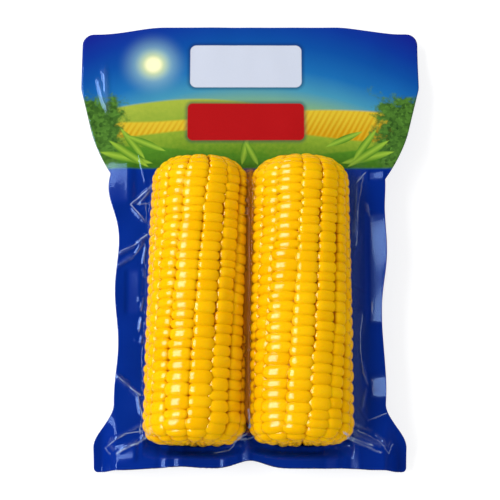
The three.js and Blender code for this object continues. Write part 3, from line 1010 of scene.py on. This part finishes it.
# %% Mirrored light and clouded juice
GRAZING_POWER, GRAZING_GAIN = 4.0, 2.8  # the film mirrors this much more at grazing angles
VALLEY_SHADE_COVER = 0.85
tree = new_material("clear laminate film", front_film)
facing = add("LayerWeight", inputs={"Blend": 0.5})["Facing"]
grazing = maths("POWER", facing, GRAZING_POWER)
sheen = attribute("sheen")
aslant = maths("MULTIPLY", sheen, GRAZING_GAIN)
mirrored = ramp(grazing, start=sheen, end=aslant)
over_blue = ramp(sheen, CROWN_SHEEN, FREE_SHEEN)
tint = blend(over_blue, "#FFFFFF", "#9CC4FF")
gloss = add("BsdfGlossy", inputs={"Color": tint, "Roughness": 0.13})[0]
through = add("BsdfTransparent")[0]
# Painted shade: an amber sheet in the groove between the cobs stands in for their shaded flanks
# and the film's reflection of them, and hides the blue behind.
valley_shade_share = maths("MULTIPLY", attribute("painted_valley_shade"), VALLEY_SHADE_COVER)
amber_shade = add("BsdfDiffuse", inputs={"Color": "#BE780E"})[0]
wet = add("MixShader", inputs={0: valley_shade_share, 1: through, 2: amber_shade})[0]
tell("wet film")

# %% White folds over it, partly painted highlights
WHITE_AND_GLINT_SHARE = 0.08
SWAY, SWAY_SIZE = 1.6 * MM, 6 * MM  # the lines aren't quite straight
PATCH_SIZE = 5 * MM  # and they come and go
veil_and_glint = maths("MULTIPLY", attribute("milky"), WHITE_AND_GLINT_SHARE)
place = add("TexCoord")["Object"]
sway = clouds(place, SWAY_SIZE, detail=2.0)["Color"]
swayed = vectors("MULTIPLY_ADD", sway, (SWAY, SWAY, 0), place)[0]
flat = vectors("MULTIPLY_ADD", swayed, (1, 1, 0), (-SWAY / 2, -SWAY / 2, 0))[0]
patchy = clouds(place, PATCH_SIZE, detail=1.0)[0]
strength = ramp(patchy, low=0.36, high=0.6, start=0.35)
# Painted highlight: pale blue diffuse lines along the folds stand in for their glints, besides the
# film's own whitening.
white = line_mask(flat, *FOLD_LINES[0])
for line in FOLD_LINES[1:]:
    white = maths("MAXIMUM", white, line_mask(flat, *line))
folded = maths("MAXIMUM", veil_and_glint, maths("MULTIPLY", white, strength))
white_and_glint_fold = add("BsdfDiffuse", inputs={"Color": "#BCD4FF"})[0]
creased = add("MixShader", inputs={0: folded, 1: wet, 2: white_and_glint_fold})[0]
surface = add("MixShader", inputs={0: mirrored, 1: creased, 2: gloss})[0]
add("OutputMaterial", inputs={"Surface": surface})
tell("clear film")

# %% [markdown]
# ## Blue film and its printed header
# The backing film is dyed blue and printed on its inner face, under a clear lacquer, so the clear
# film over it gives the gloss and it has hardly any of its own. The header shows a sky over
# fields, with leaves at their foot and two blank plates. Such a print could be an image, but
# drawn as shapes in millimetres of the Object coordinates it stays sharp at any size. Each shape
# is a mask that says where it lies and a colour that is mixed in there, from the back forwards.

# %% Plain blue, and places in millimetres
tree = new_material("printed blue laminate film", back_film)
place = add("TexCoord")["Object"]
flat = vectors("MULTIPLY", place, (1 / MM, 1 / MM, 0))[0]
x, y, _ = add("SeparateXYZ", inputs={0: flat})
blue = blend(clouds(flat, 24, detail=1.0)[0], "#01237C", "#022C90")
tell("plain blue")

# %% Sky and sun
SKY = ((0.0, "#A9B23C"), (0.12, "#78A272"), (0.26, "#3F8BA8"), (0.42, "#1866A6"),
       (0.62, "#0A4A98"), (0.8, "#0A3390"), (1.0, "#121B84"))
SKY_FOOT, SKY_TOP, SKY_DOME = 60, 126, 0.0034
SUN = (-47, 89, 0)
# Each ring of light: radius where it ends, radius where it is full, colour
RINGS = ((19, 0, "#86B2BA"), (10.45, 1, "#CAD498"), (5.85, 2, "#F2EEC0"))
domed = maths("MULTIPLY_ADD", maths("MULTIPLY", x, x), SKY_DOME, y)
art = add("ValToRGB", inputs={0: ramp(domed, SKY_FOOT, SKY_TOP)})[0]
stops = art.node.color_ramp.elements
for position, _ in SKY[1:-1]:
    stops.new(position)
for stop, (position, hue) in zip(stops, SKY):
    stop.position, stop.color = position, colour(hue)
away = vectors("DISTANCE", flat, SUN)[1]
for radius, full, hue in RINGS:
    art = blend(ramp(away, radius, full, kind="SMOOTHERSTEP"), art, hue)
tell("sky and sun")

# %% Fields below the sky
FURROW = 2.4  # millimetres from one furrow to the next
FURROW_TURN = 0.5
FIELD_EDGE, FIELD_DEPTH, GRAIN = (-0.6, 0.9), 16, 0.7
furrow_place = add("Mapping", inputs={"Vector": flat, "Rotation": (0, 0, FURROW_TURN)})[0]
furrows = add("TexWave", inputs={
    "Vector": furrow_place, "Scale": 2 * math.pi / (20 * FURROW),
    "Distortion": 1.5, "Detail Scale": 0.4})["Fac"]
grass = clouds(flat, 2.2, detail=3.0)[0]
# Each field: height of its brow, swell, run and phase of the swell, far and near colour, texture
FIELDS = [
    (67, 4.0, 24, 2.6, "#9DAB3C", "#7A9830", grass),
    (62, 3.2, 31, 0.4, "#CFB22E", "#BE8A0C", furrows),
    (52, 3.6, 27, 2.0, "#869F2E", "#417A1C", grass),
    (44, 2.6, 22, 4.2, "#4E8222", "#245414", grass),
]
for brow, swell, length, phase, far, near, texture in FIELDS:
    turn = maths("MULTIPLY_ADD", x, 1 / length, phase)
    crest = maths("MULTIPLY_ADD", maths("SINE", turn), swell, brow)
    below = maths("SUBTRACT", crest, y)
    depth = ramp(below, 0, FIELD_DEPTH)
    grained = maths("MULTIPLY_ADD", texture, GRAIN, -GRAIN / 2)
    field = blend(maths("ADD", depth, grained, clamp=True), far, near)
    art = blend(soft_ramp(below, *FIELD_EDGE), art, field)
tell("fields")

# %% Bushes at both sides
LEAFAGE = 1.5  # millimetres across one leaf of the bushes
BUSH_X, BUSH_TOP, BUSH_EDGE, RAGGED = 66.0, 66.0, (7.0, 13.0), 30.0
inwards = maths("SUBTRACT", maths("ABSOLUTE", x), BUSH_X)
nearest = maths("MINIMUM", inwards, maths("SUBTRACT", BUSH_TOP, y))
clumps = clouds(flat, 8, detail=6.0, roughness=0.7)[0]
bushy = soft_ramp(maths("MULTIPLY_ADD", clumps, RAGGED, nearest), *BUSH_EDGE)
foliage = add("TexVoronoi", {"feature": "F1"}, {"Vector": flat, "Scale": 1 / LEAFAGE})
speckle = maths("MULTIPLY_ADD", foliage["Color"], 0.55, -0.3)
lit = maths("ADD", clumps, speckle, clamp=True)
art = blend(bushy, art, blend(lit, "#0A2A12", "#5C8E34"))
tell("bushes")

# %% The print's foot and its long leaves
PRINT_FOOT, PRINT_BLUR = 35.5, 0.8
LEAF_EDGE = 0.18
headed = soft_ramp(y, PRINT_FOOT - PRINT_BLUR, PRINT_FOOT + PRINT_BLUR)
art = blend(headed, blue, art)
# Each leaf: x and y of its stalk end, its turn in degrees, its length and its half width
LEAVES = [
    (-46, 38, 168, 27, 2.4), (-48, 36, 146, 24, 2.2), (-50, 40, 128, 20, 2.0),
    (-40, 44, 158, 22, 2.0), (43, 38, 12, 27, 2.4), (46, 36, 33, 25, 2.2), (49, 39, 54, 20, 2.0),
    (36, 46, 24, 20, 1.9), (-4, 37, 78, 17, 2.2), (4, 37, 118, 14, 1.9),
]
for leaf_x, leaf_y, turn, length, half_width in LEAVES:
    own = add("Mapping", {"vector_type": "TEXTURE"}, {
        "Vector": flat, "Location": (leaf_x, leaf_y, 0), "Rotation": (0, 0, math.radians(turn)),
        "Scale": (length, half_width, 1)})[0]
    along, across, _ = add("SeparateXYZ", inputs={0: own})
    # Half a leaf's width is a parabola along it, 1 at half length
    bow = maths("MULTIPLY", along, maths("SUBTRACT", 1.0, along))
    off = maths("ABSOLUTE", across)
    spare = maths("MULTIPLY_ADD", bow, 4.0, maths("MULTIPLY", off, -1.0))
    blade = blend(off, "#8FB238", "#2C6C16")
    art = blend(ramp(spare, 0.0, LEAF_EDGE), art, blade)
tell("leaves")

# %% Two blank plates
# Each plate: middle, half width and half height, corner radius, colour
PLATES = [((-2, 88, 0), (27.0, 11.0, 0), 3.0, "#C2C8D6"),
          ((-2, 59, 0), (28.0, 9.5, 0), 2.5, "#A81216")]
PLATE_BLUR = 0.2
SHADOW_OUT, SHADOW_IN, SHADOW = 2.4, 0.5, 0.65  # reach either side of the edge, strength
for middle, half, rounding, hue in PLATES:
    core = tuple(side - rounding if side else 0 for side in half)
    folded = vectors("ABSOLUTE", vectors("SUBTRACT", flat, middle)[0])[0]
    beyond = vectors("SUBTRACT", folded, core)[0]
    gap = vectors("LENGTH", vectors("MAXIMUM", beyond, (0, 0, 0))[0])[1]
    shadow = soft_ramp(gap, rounding + SHADOW_OUT, rounding - SHADOW_IN, end=SHADOW)
    art = blend(shadow, art, "#12204A")
    plated = ramp(gap, rounding + PLATE_BLUR, rounding - PLATE_BLUR)
    art = blend(plated, art, hue)
coat({"Base Color": art, "Roughness": 0.35, "Specular IOR Level": 0.04})
tell("printed film")

# %% The film's outer face
# The underside is plain dyed film without a print, glossy, with faint flow marks.
FLOW_SIZE = 20 * MM
tree = new_material("blue laminate film", back_film)
flow = clouds(add("TexCoord")["Object"], FLOW_SIZE, detail=2.0)[0]
dyed = blend(flow, "#07266A", "#0E3C98")
worn = ramp(flow, start=0.22, end=0.34)
coat({"Base Color": dyed, "Roughness": worn, "IOR": 1.5})
tell("outer face")

# %% [markdown]
# ## Join the pieces to the frame
# Each new piece rides on the pack's one body, and the CAD solid it stands for is hidden.

# %% Ride and replace
for cob in COBS:
    for piece in (kernels[cob["node"]], cores[cob["node"]]):
        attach(piece, "root")
    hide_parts(cob["node"])
for piece, node, finish in ((front_film, "front_film", "clear_film"),
                            (back_film, "back_film", "blue_film")):
    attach(piece, "root")
    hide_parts(node)
print("every CAD solid is replaced by a finer piece")

# %% [markdown]
# ## Floor, light and camera
# The pack lies on a white table under a large soft light from the upper left, with a weak one
# opposite that lifts the shadows. The camera looks down on it, a little from the pack's foot.

# %% Floor
FLOOR_HALF = 4  # metres
bm = bmesh.new()
bmesh.ops.create_grid(bm, x_segments=1, y_segments=1, size=FLOOR_HALF)
floor = new_object("floor", mesh_from(bm, "floor"))
tree = new_material("white table", floor)
coat({
    "Base Color": "#A8A8A8", "Roughness": 0.8, "Specular IOR Level": 0.0,
    "Emission Color": "#FFFFFF", "Emission Strength": 0.72})
floor.visible_glossy = False
print("floor:", 2 * FLOOR_HALF, "m wide")

# %% Lights
AMBIENT = 0.55


def softbox(name, place, aim, size, power):
    lamp = bpy.data.lights.new(name, "AREA")
    lamp.shape = "RECTANGLE"
    lamp.size, lamp.size_y = size
    lamp.energy = power
    made = new_object(name, lamp)
    made.location = place
    made.rotation_euler = (Vector(aim) - Vector(place)).to_track_quat("-Z", "Y").to_euler()
    return made


key = softbox("key", place=(-0.83, 0.2, 0.92), aim=(0, 0.2, 0), size=(1.4, 0.66), power=17.7)
fill = softbox("fill", place=(0.9, -0.1, 0.7), aim=(0, -0.02, 0), size=(1.6, 0.9), power=2.9)
fill.visible_glossy = False
world = bpy.data.worlds.new("studio")
world.use_nodes = True
background = world.node_tree.nodes["Background"].inputs
background["Color"].default_value = colour("#FFFFFF")
background["Strength"].default_value = AMBIENT
world.cycles_visibility.glossy = False
bpy.context.scene.world = world
bpy.context.scene.view_settings.view_transform = "Standard"
print("lamps:", key.name, "and", fill.name)

# %% Camera
ELEVATION = math.radians(80)
DISTANCE = 1.0
PHOTO_WIDTH = 0.2385  # metres across the picture at the pack
target = Vector((0, -0.0029, 0.012))
lens = bpy.data.cameras.new("camera")
lens.lens = lens.sensor_width * DISTANCE / PHOTO_WIDTH
lens.clip_start = 0.01
camera = new_object("camera", lens)
camera.location = target + DISTANCE * Vector((0, -math.cos(ELEVATION), math.sin(ELEVATION)))
camera.rotation_euler = (target - camera.location).to_track_quat("-Z", "Y").to_euler()
bpy.context.scene.camera = camera
print("camera lens", round(lens.lens), "mm")
